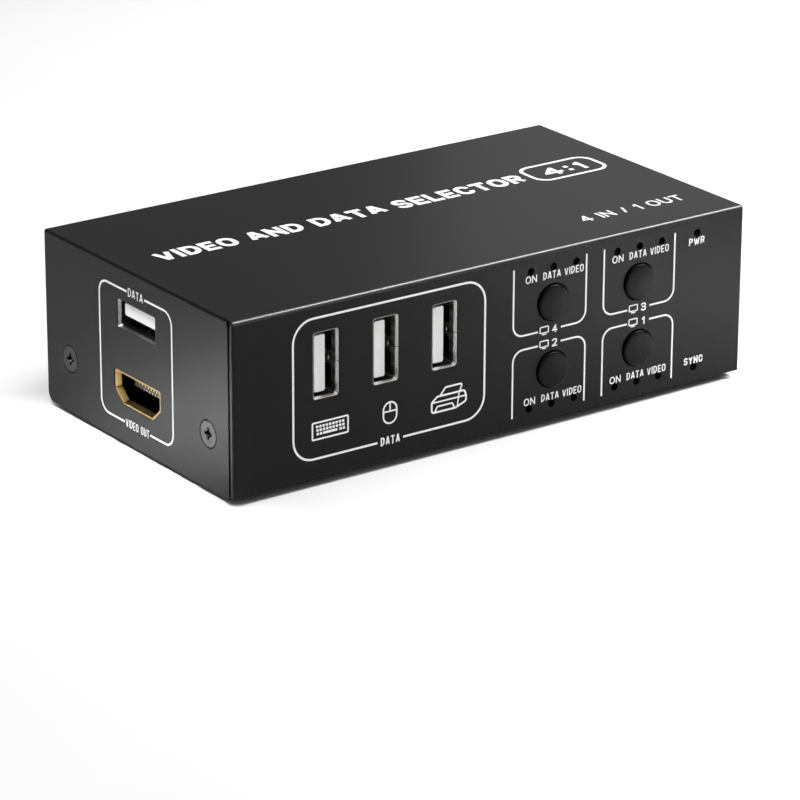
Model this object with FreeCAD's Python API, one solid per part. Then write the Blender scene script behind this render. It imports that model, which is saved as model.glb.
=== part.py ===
"""Four-input desktop switch box for video and peripherals: a folded steel case with its boards and sockets.

Millimetres. X runs along the width, Y from the front panel (-Y) to the rear panel (+Y), Z up.
The model is laid out from the middle of the case's underside. As it is saved, every piece is lifted
by the height of the feet and moved back by half of what the buttons stand proud, so the origin lies
on the table under the middle of the whole object.
"""
import FreeCAD, Part
import math
import os

from FreeCAD import Vector

X_AXIS = Vector(1, 0, 0)
Y_AXIS = Vector(0, 1, 0)
Z_AXIS = Vector(0, 0, 1)

# ---------------------------------------------------------------- driving dimensions: case
WIDTH = 120.0
DEPTH = 65.5
HEIGHT = 35.0
SHEET = 1.0
FRONT_BEND = 0.8
END_BEND = 0.5
SEAM = 0.6
RELIEF_RADIUS = 0.65
TRAY_GAP = 0.3
TRAY_BEND = 0.8
REAR_INSET = 0.3
REAR_TOP_GAP = 0.6
FOOT_HEIGHT = 1.0
FOOT_RADIUS = 5.0
FOOT_X = 49.0
FOOT_Y = 24.5

LEFT = -WIDTH / 2
FRONT = -DEPTH / 2
REAR = DEPTH / 2
TRAY_X = WIDTH / 2 - SHEET - TRAY_GAP
TRAY_FRONT = FRONT + SHEET + TRAY_GAP
TRAY_REAR = REAR - REAR_INSET
TRAY_TOP = HEIGHT - SHEET - REAR_TOP_GAP

# case screws: M3 countersunk, two in each end
SCREW_Y = 24.3
SCREW_Z = 10.9
SCREW_HEAD_RADIUS = 2.55
SCREW_HEAD_GAP = 0.3
SCREW_RADIUS = 1.5
SCREW_HEAD_HEIGHT = 1.2
SCREW_LENGTH = 5.0
SCREW_CLEARANCE = 0.12
RECESS_DEPTH = 0.9
RECESS_REACH = 1.25
RECESS_HALF = 0.3
RECESS_CORE = 0.8

# ---------------------------------------------------------------- boards and their posts
BOARD = 1.6
TOP_BOARD = 1.2
MAIN_TOP = 6.0
MAIN_BOTTOM = MAIN_TOP - BOARD
DATA_BOTTOM = 31.3
DATA_TOP = DATA_BOTTOM + TOP_BOARD
BOARD_HALF_X = 56.0
POST_X = 52.5
POST_Y = 13.0
POST_FLATS = 5.0
POST_BORE = 1.3
STUD_RADIUS = 1.25
SOCKET_DEPTH = 13.8
PANEL_BOARD_FRONT = FRONT + 0.1 + SOCKET_DEPTH
PANEL_BOARD_REAR = PANEL_BOARD_FRONT + BOARD
END_BOARD_FRONT = LEFT + 0.1 + SOCKET_DEPTH
END_BOARD_REAR = END_BOARD_FRONT + BOARD
BOARDS_FRONT = PANEL_BOARD_REAR + 0.5
BOARDS_REAR = TRAY_REAR - SHEET - 1.2

# ---------------------------------------------------------------- front panel
DEVICE_PORT_X = (-39.45, -25.95, -12.45)
DEVICE_PORT_Z = 22.8
BUTTON_X = {1: 34.05, 2: 13.15, 3: 34.05, 4: 13.15}
BUTTON_Z = {1: 10.7, 2: 10.7, 3: 24.3, 4: 24.3}
BUTTON_RADIUS = 3.6
BUTTON_HOLE = 3.85
BUTTON_PROUD = 0.9
BUTTON_LENGTH = 6.0
BUTTON_DISH = 24.0
PLUNGER_RADIUS = 1.7
PLUNGER_FIT = 0.06
SWITCH_SIZE = 6.0
SWITCH_HEIGHT = 3.6
SWITCH_POCKET = 1.4
LED_PITCH = 5.45
LED_HIGH = 31.45
LED_LOW = 3.7
LED_ALONE_X = 48.35
LED_HOLE = 0.8
LED_RADIUS = 0.9
LED_SPACER_RADIUS = 1.2

# ---------------------------------------------------------------- rear panel
INPUT_X = {1: -29.2, 2: -5.0, 3: 19.2, 4: 43.4}
VIDEO_IN_Z = 8.75
DATA_IN_Z = 24.7
SIDE_COLUMN_X = -49.3
CONTROL_Z = 29.6
POWER_Z = 8.7

# ---------------------------------------------------------------- left end
VIDEO_OUT_Z = 10.85
END_PORT_Z = 25.7


# ================================================================ helpers
def block(x0, x1, y0, y1, z0, z1):
    """A box between two corners."""
    return Part.makeBox(x1 - x0, y1 - y0, z1 - z0, Vector(x0, y0, z0))


def rod(radius, length, start, direction):
    """A cylinder from a start point along a direction."""
    return Part.makeCylinder(radius, length, start, direction)


def prism(outline, y, depth):
    """An outline of (x, z) corners at height y, drawn out along +Y."""
    corners = [Vector(x, y, z) for x, z in outline]
    wire = Part.makePolygon(corners + corners[:1])
    return Part.Face(wire).extrude(Vector(0, depth, 0))


def rounded(shape, direction, radius, wanted=None):
    """Round the straight edges that run along a direction, or those of them that are wanted."""
    edges = []
    for edge in shape.Edges:
        ends = edge.Vertexes
        if len(ends) < 2:
            continue
        run = ends[1].Point - ends[0].Point
        if run.Length < 1e-6 or abs(run.normalize().dot(direction)) < 0.999:
            continue
        if wanted is None or wanted(edge.CenterOfMass):
            edges.append(edge)
    return shape.makeFillet(radius, edges)


def hexagon(flats, length, base):
    """A hexagonal bar standing on a base point."""
    reach = flats / math.sqrt(3)
    corners = []
    for step in range(6):
        turn = math.radians(60 * step)
        corners.append(base + Vector(reach * math.cos(turn), reach * math.sin(turn), 0))
    return Part.Face(Part.makePolygon(corners + corners[:1])).extrude(Vector(0, 0, length))


def cut_all(shape, tools):
    """Take a list of solids out of a shape."""
    for tool in tools:
        shape = shape.cut(tool)
    return shape


def placed(shape, position, upright=False, facing="front"):
    """Move a socket from its own frame to a panel.

    A socket's own frame has its mouth at the origin facing -Y, its width along X and its depth
    along +Y. Upright turns its upper side to the left, before it turns to face its panel.
    """
    moved = shape.copy()
    origin = Vector(0, 0, 0)
    if upright:
        moved.rotate(origin, Y_AXIS, -90)
    turns = {"front": 0, "rear": 180, "left": -90}
    moved.rotate(origin, Z_AXIS, turns[facing])
    moved.translate(position)
    return moved


saved = {}


def save(name, *solids):
    """Write one named piece, or one group of like solids, as parts/NAME.step."""
    shape = solids[0].copy() if len(solids) == 1 else Part.makeCompound(list(solids))
    shape.translate(Vector(0, BUTTON_PROUD / 2, FOOT_HEIGHT))
    shape.exportStep("parts/" + name + ".step")
    saved[name] = shape


# ================================================================ socket outlines
USB_A_WIDTH = 13.1
USB_A_HEIGHT = 5.7
USB_A_WALL = 0.3
USB_A_CORNER = 0.6
USB_A_FLARE = 0.26
USB_A_FLARE_DEPTH = 0.6
USB_A_SEAM = 0.15
USB_A_SEAM_DEPTH = 2.6
USB_A_WINDOW_X = 2.95
USB_A_WINDOW_HALF = 1.7
USB_A_WINDOW_START = 2.0
USB_A_WINDOW_END = 6.8
PORT_CUT = 0.12

HDMI_WIDTH = 14.9
HDMI_HEIGHT = 5.35
HDMI_WALL = 0.4
HDMI_LIP = 0.55
HDMI_LIP_DEPTH = 0.35
HDMI_FLARE = 0.65
HDMI_FLARE_DEPTH = 0.9
HDMI_BODY_DEPTH = 12.0

USB_B_WIDTH = 13.6
USB_B_HEIGHT = 12.1
USB_B_DEPTH = 16.0

MICRO_WIDTH = 7.6
MICRO_HEIGHT = 2.6
MICRO_WALL = 0.3
MICRO_DEPTH = 5.6
MICRO_SETBACK = 0.8


def notched_outline(width, height, grow=0.0, notch_x=2.6, notch_z=2.2):
    """A socket outline with its two lower corners cut away, grown evenly by grow."""
    half = width / 2 + grow
    top = height / 2 + grow
    cut_x = notch_x + grow * 0.4
    cut_z = notch_z + grow * 0.4
    return [
        (-half, top),
        (half, top),
        (half, -top + cut_z),
        (half - cut_x, -top),
        (-half + cut_x, -top),
        (-half, -top + cut_z),
    ]


def video_profile(grow, start, depth):
    """A length of the video socket's outline, with its corners eased."""
    solid = prism(notched_outline(HDMI_WIDTH, HDMI_HEIGHT, grow), start, depth)
    return rounded(solid, Y_AXIS, 0.45)


def micro_profile(grow, start, depth):
    """A length of the control socket's outline."""
    solid = prism(notched_outline(MICRO_WIDTH, MICRO_HEIGHT, grow, 1.25, 1.2), start, depth)
    return rounded(solid, Y_AXIS, 0.25)


def device_profile(grow, start, depth):
    """A length of the flat data socket's outline."""
    half = USB_A_WIDTH / 2 + grow
    rise = USB_A_HEIGHT / 2 + grow
    solid = block(-half, half, start, start + depth, -rise, rise)
    return rounded(solid, Y_AXIS, USB_A_CORNER)


def lead_in(profile, grow, flare, depth):
    """The flare of a socket's mouth: wider by flare at the face, and down to grow at depth."""
    rings = []
    for at, wide in ((0, grow + flare), (depth, grow)):
        ends = [face for face in profile(wide, at, 1.0).Faces if abs(face.CenterOfMass.y - at) < 0.01]
        rings.append(ends[0].OuterWire)
    return Part.makeLoft(rings, True, True)


def host_outline(grow):
    """The mouth of a square data socket: two bevelled lower corners."""
    return notched_outline(11.3, 10.0, grow, 2.6, 2.9)


# ================================================================ sockets in their own frame
def device_socket():
    """Flat data socket: a flared shell with a seam and two spring windows, and a tongue on a block."""
    back = SOCKET_DEPTH
    shell = device_profile(0, 0, back).cut(device_profile(-USB_A_WALL, -1, back + 2))
    for side in (-1, 1):
        low = side * USB_A_WINDOW_X - USB_A_WINDOW_HALF
        high = side * USB_A_WINDOW_X + USB_A_WINDOW_HALF
        window_top = -USB_A_HEIGHT / 2 + 1.0
        window = block(low, high, USB_A_WINDOW_START, USB_A_WINDOW_END, -USB_A_HEIGHT, window_top)
        shell = shell.cut(rounded(window, Z_AXIS, 0.9))
    shell = shell.cut(lead_in(device_profile, -USB_A_WALL, USB_A_FLARE, USB_A_FLARE_DEPTH))
    seam = block(-USB_A_SEAM / 2, USB_A_SEAM / 2, -1, USB_A_SEAM_DEPTH, -USB_A_HEIGHT, 0)
    shell = shell.cut(seam)
    inner = USB_A_HEIGHT / 2 - USB_A_WALL
    tongue = block(-5.55, 5.55, 1.0, 10.5, inner - 3.0, inner - 0.6)
    tongue = rounded(tongue, Y_AXIS, 0.35)
    base = device_profile(-USB_A_WALL - 0.03, 9.6, back - 9.6)
    return shell, tongue.fuse(base).removeSplitter()


def video_socket(depth):
    """Video socket: a drawn shell with a turned lip and a flared mouth, and a tongue on a block."""
    shell = video_profile(0, 0, depth).fuse(video_profile(HDMI_LIP, 0, HDMI_LIP_DEPTH)).removeSplitter()
    shell = shell.cut(video_profile(-HDMI_WALL, -1, depth + 2))
    shell = shell.cut(lead_in(video_profile, -HDMI_WALL, HDMI_FLARE, HDMI_FLARE_DEPTH))
    base = video_profile(-HDMI_WALL - 0.03, 8.6, depth - 8.6)
    tongue = block(-5.4, 5.4, 2.7, 9.0, -0.1, 1.05)
    return shell, tongue.fuse(base).removeSplitter()


def host_socket():
    """Square data socket: a folded shell with a flat face, and a white core with its block."""
    half = USB_B_WIDTH / 2
    rise = USB_B_HEIGHT / 2
    shell = rounded(block(-half, half, 0, USB_B_DEPTH, -rise, rise), Y_AXIS, 0.35)
    mouth = rounded(prism(host_outline(0), -1, 2.0), Y_AXIS, 0.5)
    cavity = block(-half + 0.4, half - 0.4, 0.4, USB_B_DEPTH + 1, -rise + 0.4, rise - 0.4)
    shell = cut_all(shell, [mouth, cavity])
    core = block(-half + 0.43, half - 0.43, 0.43, USB_B_DEPTH - 0.2, -rise + 0.43, rise - 0.43)
    rim = rounded(prism(host_outline(-0.03), 0.05, 1.0), Y_AXIS, 0.5)
    hollow = rounded(prism(host_outline(-0.35), -1, 10.6), Y_AXIS, 0.4)
    post = block(-3.25, 3.25, 1.0, 10.0, -1.85, 1.95)
    core = core.fuse(rim).cut(hollow).fuse(post).removeSplitter()
    return shell, core


def control_socket():
    """Small control socket: a drawn shell and a thin tongue on a block."""
    shell = micro_profile(0, 0, MICRO_DEPTH).cut(micro_profile(-MICRO_WALL, -1, MICRO_DEPTH + 2))
    base = micro_profile(-MICRO_WALL - 0.03, 4.0, MICRO_DEPTH - 4.0)
    tongue = block(-1.9, 1.9, 0.9, 4.2, 0.05, 0.65)
    return shell, tongue.fuse(base).removeSplitter()


# ================================================================ case
def led_places():
    """The (x, z) centres of the fourteen indicator windows."""
    places = [(LED_ALONE_X, LED_HIGH), (LED_ALONE_X, LED_LOW)]
    for number in (1, 2, 3, 4):
        height = LED_HIGH if BUTTON_Z[number] > HEIGHT / 2 else LED_LOW
        for step in (-1, 0, 1):
            places.append((BUTTON_X[number] + step * LED_PITCH, height))
    return places


def folded_sheet():
    """The cover's sheet, bent tightly at the front and more tightly at both ends."""
    outer = block(LEFT, -LEFT, FRONT, REAR, 0, HEIGHT)
    outer = rounded(outer, X_AXIS, FRONT_BEND, lambda at: abs(at.z - HEIGHT) + abs(at.y - FRONT) < 0.01)
    outer = rounded(outer, Y_AXIS, END_BEND, lambda at: abs(at.z - HEIGHT) < 0.01)
    return outer.cut(block(LEFT + SHEET, -LEFT - SHEET, FRONT + SHEET, REAR + 5, -5, HEIGHT - SHEET))


def cover():
    """Top, front and both ends, folded from one sheet, open at the rear and below."""
    shell = folded_sheet()
    cuts = []
    for side in (-1, 1):
        outer = side * WIDTH / 2
        low, high = sorted((outer, outer - side * SHEET * 1.2))
        seam_front = FRONT + SHEET
        seam_top = HEIGHT - FRONT_BEND
        cuts.append(block(low, high, seam_front, seam_front + SEAM, -1, seam_top))
        start = Vector(outer, seam_front + SEAM / 2, seam_top)
        cuts.append(rod(RELIEF_RADIUS, SHEET * 1.2, start, Vector(-side, 0, 0)))
        for y in (-SCREW_Y, SCREW_Y):
            mouth = Vector(outer, y, SCREW_Z)
            inward = Vector(-side, 0, 0)
            wide = SCREW_HEAD_RADIUS + SCREW_HEAD_GAP
            narrow = SCREW_RADIUS + SCREW_CLEARANCE
            cuts.append(Part.makeCone(wide, narrow, SCREW_HEAD_HEIGHT, mouth, inward))
            cuts.append(rod(narrow + 0.2, SHEET * 1.5, mouth, inward))
    cuts.append(block(-WIDTH, WIDTH, FRONT - 1, FRONT + SHEET, -1, SEAM))
    for number, x in BUTTON_X.items():
        cuts.append(rod(BUTTON_HOLE, 4, Vector(x, FRONT - 1, BUTTON_Z[number]), Y_AXIS))
    for x, z in led_places():
        cuts.append(rod(LED_HOLE, 4, Vector(x, FRONT - 1, z), Y_AXIS))
    for x in DEVICE_PORT_X:
        mouth = device_profile(PORT_CUT, -1, 4)
        cuts.append(placed(mouth, Vector(x, FRONT, DEVICE_PORT_Z), upright=True))
    cuts.append(placed(device_profile(PORT_CUT, -1, 4), Vector(LEFT, 0, END_PORT_Z), facing="left"))
    lip = video_profile(HDMI_LIP + PORT_CUT, -1, 4)
    cuts.append(placed(lip, Vector(LEFT, 0, VIDEO_OUT_Z), facing="left"))
    shell = cut_all(shell, cuts)
    return rounded(shell, X_AXIS, 2.0, lambda at: abs(at.y - REAR) + abs(at.z) < 0.01)


def base_tray():
    """Bottom and rear panel, folded from one sheet, with the tabs that take the case screws."""
    outer = block(-TRAY_X, TRAY_X, TRAY_FRONT, TRAY_REAR, 0, TRAY_TOP)
    at_rear = lambda at: abs(at.y - TRAY_REAR) < 0.01
    outer = rounded(outer, X_AXIS, TRAY_BEND, at_rear)
    outer = rounded(outer, Z_AXIS, TRAY_BEND, at_rear)
    inner = block(-TRAY_X + SHEET, TRAY_X - SHEET, FRONT - 5, TRAY_REAR - SHEET, SHEET, TRAY_TOP - SHEET)
    tab_top = 16.5
    tab_front = SCREW_Y - 5.0
    lip_front = TRAY_REAR - SHEET - 0.8
    tray = outer.cut(inner)
    tray = tray.cut(block(-WIDTH, WIDTH, FRONT - 5, tab_front, SHEET, HEIGHT))
    tray = tray.cut(block(-WIDTH, WIDTH, FRONT - 5, lip_front, tab_top, HEIGHT))
    collars = []
    cuts = []
    for side in (-1, 1):
        low, high = sorted((side * TRAY_X, side * (TRAY_X - SHEET)))
        tray = tray.fuse(block(low, high, -SCREW_Y - 4.5, -SCREW_Y + 4.5, SHEET / 2, tab_top))
        for y in (-SCREW_Y, SCREW_Y):
            face = Vector(side * (TRAY_X - SHEET), y, SCREW_Z)
            collars.append(rod(2.4, 1.0, face, Vector(-side, 0, 0)))
            bore = Vector(side * (TRAY_X + 1), y, SCREW_Z)
            cuts.append(rod(SCREW_RADIUS + SCREW_CLEARANCE, 5, bore, Vector(-side, 0, 0)))
        corner_x = sorted((side * (TRAY_X - 6), side * (TRAY_X + 1)))
        cuts.append(block(corner_x[0], corner_x[1], FRONT, TRAY_REAR - TRAY_BEND, TRAY_TOP - 3, HEIGHT))
    for collar in collars:
        tray = tray.fuse(collar)
    for x, y in post_places():
        cuts.append(rod(2.05, 3, Vector(x, y, -1), Z_AXIS))
    for x in INPUT_X.values():
        half = USB_B_WIDTH / 2 + PORT_CUT
        rise = USB_B_HEIGHT / 2 + PORT_CUT
        mouth = rounded(block(-half, half, -1, 3, -rise, rise), Y_AXIS, 0.4)
        cuts.append(placed(mouth, Vector(x, TRAY_REAR, DATA_IN_Z), facing="rear"))
        lip = video_profile(HDMI_LIP + PORT_CUT, -1, 4)
        cuts.append(placed(lip, Vector(x, TRAY_REAR, VIDEO_IN_Z), facing="rear"))
    slot = micro_profile(0.35, -1, 4)
    cuts.append(placed(slot, Vector(SIDE_COLUMN_X, TRAY_REAR, CONTROL_Z), facing="rear"))
    cuts.append(rod(4.1, 4, Vector(SIDE_COLUMN_X, TRAY_REAR - 2, POWER_Z), Y_AXIS))
    return cut_all(tray, cuts).removeSplitter()


def case_screw(side, y):
    """M3 countersunk screw with a cross recess, driven in through one end."""
    inward = Vector(-side, 0, 0)
    start = Vector(side * (WIDTH / 2 - 0.05), y, SCREW_Z)
    tip = start + inward * SCREW_HEAD_HEIGHT
    head = Part.makeCone(SCREW_HEAD_RADIUS, SCREW_RADIUS, SCREW_HEAD_HEIGHT, start, inward)
    shank = rod(SCREW_RADIUS, SCREW_LENGTH - SCREW_HEAD_HEIGHT, tip, inward)
    screw = head.fuse(shank)
    low, high = sorted((start.x + side, start.x - side * RECESS_DEPTH))
    for arm_y, arm_z in ((RECESS_REACH, RECESS_HALF), (RECESS_HALF, RECESS_REACH)):
        screw = screw.cut(block(low, high, y - arm_y, y + arm_y, SCREW_Z - arm_z, SCREW_Z + arm_z))
    screw = screw.cut(Part.makeCone(RECESS_CORE, RECESS_HALF, RECESS_DEPTH, start, inward))
    return screw.removeSplitter()


def foot(x, y):
    """Stick-on rubber foot with an eased lower edge."""
    pad = rod(FOOT_RADIUS, FOOT_HEIGHT, Vector(x, y, -FOOT_HEIGHT), Z_AXIS)
    rim = [edge for edge in pad.Edges if abs(edge.CenterOfMass.z + FOOT_HEIGHT) < 0.01]
    return pad.makeFillet(0.35, rim)


# ================================================================ boards, posts and parts on the boards
def post_places():
    """The (x, y) centres of the four board posts."""
    return [(x, y) for x in (-POST_X, POST_X) for y in (-POST_Y, POST_Y)]


def standoff(x, y):
    """Clinched hexagonal standoff that carries the main board."""
    body = hexagon(POST_FLATS, MAIN_BOTTOM - SHEET, Vector(x, y, SHEET))
    body = body.fuse(rod(2.0, SHEET, Vector(x, y, 0), Z_AXIS))
    return body.cut(rod(POST_BORE, MAIN_BOTTOM + 1, Vector(x, y, 0.6), Z_AXIS)).removeSplitter()


def post(x, y):
    """Tall hexagonal post with a stud below: it clamps the main board and carries the upper one."""
    body = hexagon(POST_FLATS, DATA_BOTTOM - MAIN_TOP, Vector(x, y, MAIN_TOP))
    body = body.cut(rod(POST_BORE, 6.0, Vector(x, y, DATA_BOTTOM - 6.0), Z_AXIS))
    stud = rod(STUD_RADIUS, MAIN_TOP - 1.4, Vector(x, y, 1.4), Z_AXIS)
    return body.fuse(stud).removeSplitter()


def board_screw(x, y):
    """Low-head screw that holds the upper board down on a post."""
    head = rod(2.3, 0.9, Vector(x, y, DATA_TOP), Z_AXIS)
    return head.fuse(rod(STUD_RADIUS, 5.0 + TOP_BOARD, Vector(x, y, DATA_BOTTOM - 5.0), Z_AXIS)).removeSplitter()


def flat_board(bottom, thickness):
    """A board that lies flat, with clearance holes for the four posts."""
    sheet = block(-BOARD_HALF_X, BOARD_HALF_X, BOARDS_FRONT, BOARDS_REAR, bottom, bottom + thickness)
    sheet = rounded(sheet, Z_AXIS, 1.0)
    for x, y in post_places():
        sheet = sheet.cut(rod(1.4, thickness + 2, Vector(x, y, bottom - 1), Z_AXIS))
    return sheet


def main_board():
    """Lower board, notched at its rear edge for the power jack."""
    notch = block(SIDE_COLUMN_X - 4.7, SIDE_COLUMN_X + 4.7, 16.6, REAR, MAIN_BOTTOM - 1, MAIN_TOP + 1)
    return flat_board(MAIN_BOTTOM, BOARD).cut(notch)


def power_jack():
    """Round power inlet: housing with a bore, centre pin, and a side spring in a slot."""
    face = TRAY_REAR - SHEET - 0.1
    depth = 14.0
    half = 4.4
    x = SIDE_COLUMN_X
    housing = block(x - half, x + half, face - depth, face, POWER_Z - half, POWER_Z + half)
    housing = rounded(housing, Y_AXIS, 1.0)
    bore = rod(3.2, 9.8, Vector(x, face + 0.1, POWER_Z), Vector(0, -1, 0))
    mouth = Part.makeCone(3.6, 3.2, 0.4, Vector(x, face, POWER_Z), Vector(0, -1, 0))
    pin_hole = rod(1.02, depth + 1, Vector(x, face + 0.5, POWER_Z), Vector(0, -1, 0))
    slot = block(x - 1.2, x + 1.2, face - 8.4, face - 2.0, POWER_Z + 2.9, POWER_Z + half + 1)
    housing = cut_all(housing, [bore, mouth, pin_hole, slot])
    pin = rod(1.0, depth - 2.8, Vector(x, face - depth, POWER_Z), Y_AXIS)
    tip = [edge for edge in pin.Edges if abs(edge.CenterOfMass.y - (face - 2.8)) < 0.01]
    pin = pin.makeFillet(0.45, tip)
    spring = block(x - 1.0, x + 1.0, face - 8.2, face - 2.2, POWER_Z + 2.95, POWER_Z + 3.2)
    return housing, pin, spring


def button_cap(number):
    """Round push-button cap with an eased rim and a shallow dome, bored for its plunger."""
    x = BUTTON_X[number]
    z = BUTTON_Z[number]
    crown = FRONT - BUTTON_PROUD
    cap = rod(BUTTON_RADIUS, BUTTON_LENGTH, Vector(x, crown, z), Y_AXIS)
    dome = Part.makeSphere(BUTTON_DISH, Vector(x, crown + BUTTON_DISH, z))
    cap = cap.common(dome)
    rim_y = crown + 0.6
    rim = [e for e in cap.Edges if e.CenterOfMass.y < rim_y and e.Length > 5]
    cap = cap.makeFillet(0.45, rim)
    bore_start = Vector(x, crown + BUTTON_LENGTH - 4.0, z)
    return cap.cut(rod(PLUNGER_RADIUS + 0.02, 5.0, bore_start, Y_AXIS))


def button_plunger(number):
    """Stem of a push switch, seated in its cap and running in its switch."""
    start = FRONT - BUTTON_PROUD + BUTTON_LENGTH - 4.0
    end = PANEL_BOARD_FRONT - SWITCH_HEIGHT + SWITCH_POCKET - 0.5
    return rod(PLUNGER_RADIUS, end - start, Vector(BUTTON_X[number], start, BUTTON_Z[number]), Y_AXIS)


def switch_body(number):
    """Square body of a push switch on the panel board."""
    x = BUTTON_X[number]
    z = BUTTON_Z[number]
    half = SWITCH_SIZE / 2
    face = PANEL_BOARD_FRONT - SWITCH_HEIGHT
    body = block(x - half, x + half, face, PANEL_BOARD_FRONT, z - half, z + half)
    body = rounded(body, Y_AXIS, 0.4)
    pocket = rod(PLUNGER_RADIUS + PLUNGER_FIT, SWITCH_POCKET + 1, Vector(x, face - 1, z), Y_AXIS)
    return body.cut(pocket)


def indicator(x, z):
    """Indicator lamp: a small domed lens on a collar."""
    nose = FRONT + SHEET + 0.3
    lens = rod(LED_RADIUS, 2.6 - LED_RADIUS, Vector(x, nose + LED_RADIUS, z), Y_AXIS)
    lens = lens.fuse(Part.makeSphere(LED_RADIUS, Vector(x, nose + LED_RADIUS, z)))
    return lens.fuse(rod(LED_SPACER_RADIUS, 0.4, Vector(x, nose + 2.6, z), Y_AXIS)).removeSplitter()


def indicator_spacer(x, z):
    """Black sleeve that holds an indicator lamp off the panel board."""
    start = FRONT + SHEET + 0.3 + 3.0
    return rod(LED_SPACER_RADIUS, PANEL_BOARD_FRONT - start, Vector(x, start, z), Y_AXIS)


def chips():
    """The packaged circuits on the main and upper boards."""
    parts = [block(-8, 8, -4, 12, MAIN_TOP, MAIN_TOP + 1.2)]
    for x in INPUT_X.values():
        parts.append(block(x - 3, x + 3, 13.5, 18.0, MAIN_TOP, MAIN_TOP + 0.9))
        parts.append(block(x - 2.5, x + 2.5, 6.5, 11.5, DATA_BOTTOM - 1.0, DATA_BOTTOM))
    parts.append(block(28, 38, -10, 0, MAIN_TOP, MAIN_TOP + 1.2))
    parts.append(block(-38, -32, 5, 9, MAIN_TOP, MAIN_TOP + 1.5))
    return parts


def heat_sink():
    """Finned block on the main chip."""
    bottom = MAIN_TOP + 1.2
    body = block(-10, 10, -6, 14, bottom, bottom + 8.0)
    for step in range(6):
        x = -8.2 + step * 2.9
        body = body.cut(block(x, x + 1.7, -7, 15, bottom + 1.6, bottom + 9.0))
    return body


def capacitors():
    """Round supply capacitors near the power jack."""
    places = [(-37.5, -10.5), (-31.0, -10.5), (-24.5, -10.5), (-18.0, -10.5), (21.0, -10.5)]
    return [rod(2.5, 5.4, Vector(x, y, MAIN_TOP), Z_AXIS) for x, y in places]


def headers():
    """Plastic bodies of the headers between the boards."""
    pitch_row = 2.54
    front = block(-2 * pitch_row, 6 * pitch_row, PANEL_BOARD_REAR, PANEL_BOARD_REAR + 2.5, MAIN_TOP, MAIN_TOP + 5.0)
    end = block(END_BOARD_REAR, END_BOARD_REAR + 2.5, -4 * pitch_row, 4 * pitch_row, MAIN_TOP, MAIN_TOP + 5.0)
    stack = block(42, 42 + 2 * pitch_row, -14, 4, MAIN_TOP, DATA_BOTTOM)
    return [front, end, stack]


def build():
    """Make every piece and save it under its own name."""
    os.makedirs("parts", exist_ok=True)
    save("cover", cover())
    save("base_tray", base_tray())
    save("case_screws", *[case_screw(side, y) for side in (-1, 1) for y in (-SCREW_Y, SCREW_Y)])
    save("rubber_feet", *[foot(x, y) for x in (-FOOT_X, FOOT_X) for y in (-FOOT_Y, FOOT_Y)])
    save("board_standoffs", *[standoff(x, y) for x, y in post_places()])
    save("board_posts", *[post(x, y) for x, y in post_places()])
    save("board_screws", *[board_screw(x, y) for x, y in post_places()])
    save("main_board", main_board())
    save("data_board", flat_board(DATA_BOTTOM, TOP_BOARD))
    save("panel_board", block(-BOARD_HALF_X, BOARD_HALF_X, PANEL_BOARD_FRONT, PANEL_BOARD_REAR, 1.6, 33.4))
    save("end_board", block(END_BOARD_FRONT, END_BOARD_REAR, -11.5, 11.5, MAIN_TOP + 0.3, DATA_BOTTOM - 0.4))
    save("board_headers", *headers())
    save("chips", *chips())
    save("heat_sink", heat_sink())
    save("capacitors", *capacitors())

    shell, tongue = device_socket()
    for number, x in enumerate(DEVICE_PORT_X, start=1):
        place = Vector(x, FRONT + 0.1, DEVICE_PORT_Z)
        save("device_port_%d_shell" % number, placed(shell, place, upright=True))
        save("device_port_%d_tongue" % number, placed(tongue, place, upright=True))
    place = Vector(LEFT + 0.1, 0, END_PORT_Z)
    save("end_port_shell", placed(shell, place, facing="left"))
    save("end_port_tongue", placed(tongue, place, facing="left"))

    shell, tongue = video_socket(SOCKET_DEPTH)
    place = Vector(LEFT + 0.1, 0, VIDEO_OUT_Z)
    save("video_out_shell", placed(shell, place, facing="left"))
    save("video_out_tongue", placed(tongue, place, facing="left"))
    shell, tongue = video_socket(HDMI_BODY_DEPTH)
    host_shell, host_core = host_socket()
    for number, x in INPUT_X.items():
        place = Vector(x, TRAY_REAR - 0.1, VIDEO_IN_Z)
        save("video_in_%d_shell" % number, placed(shell, place, facing="rear"))
        save("video_in_%d_tongue" % number, placed(tongue, place, facing="rear"))
        place = Vector(x, TRAY_REAR - 0.1, DATA_IN_Z)
        save("data_in_%d_shell" % number, placed(host_shell, place, facing="rear"))
        save("data_in_%d_core" % number, placed(host_core, place, facing="rear"))

    shell, tongue = control_socket()
    place = Vector(SIDE_COLUMN_X, TRAY_REAR - MICRO_SETBACK, CONTROL_Z)
    save("control_port_shell", placed(shell, place, facing="rear"))
    save("control_port_tongue", placed(tongue, place, facing="rear"))
    housing, pin, spring = power_jack()
    save("power_jack_housing", housing)
    save("power_jack_pin", pin)
    save("power_jack_spring", spring)

    for number in (1, 2, 3, 4):
        save("button_%d_cap" % number, button_cap(number))
        save("button_%d_plunger" % number, button_plunger(number))
        save("switch_%d_body" % number, switch_body(number))
    save("indicators", *[indicator(x, z) for x, z in led_places()])
    save("indicator_sleeves", *[indicator_spacer(x, z) for x, z in led_places()])


build()
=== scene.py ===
import math

import bmesh
import bpy
from mathutils import Matrix, Vector
from mathutils.geometry import delaunay_2d_cdt


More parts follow.
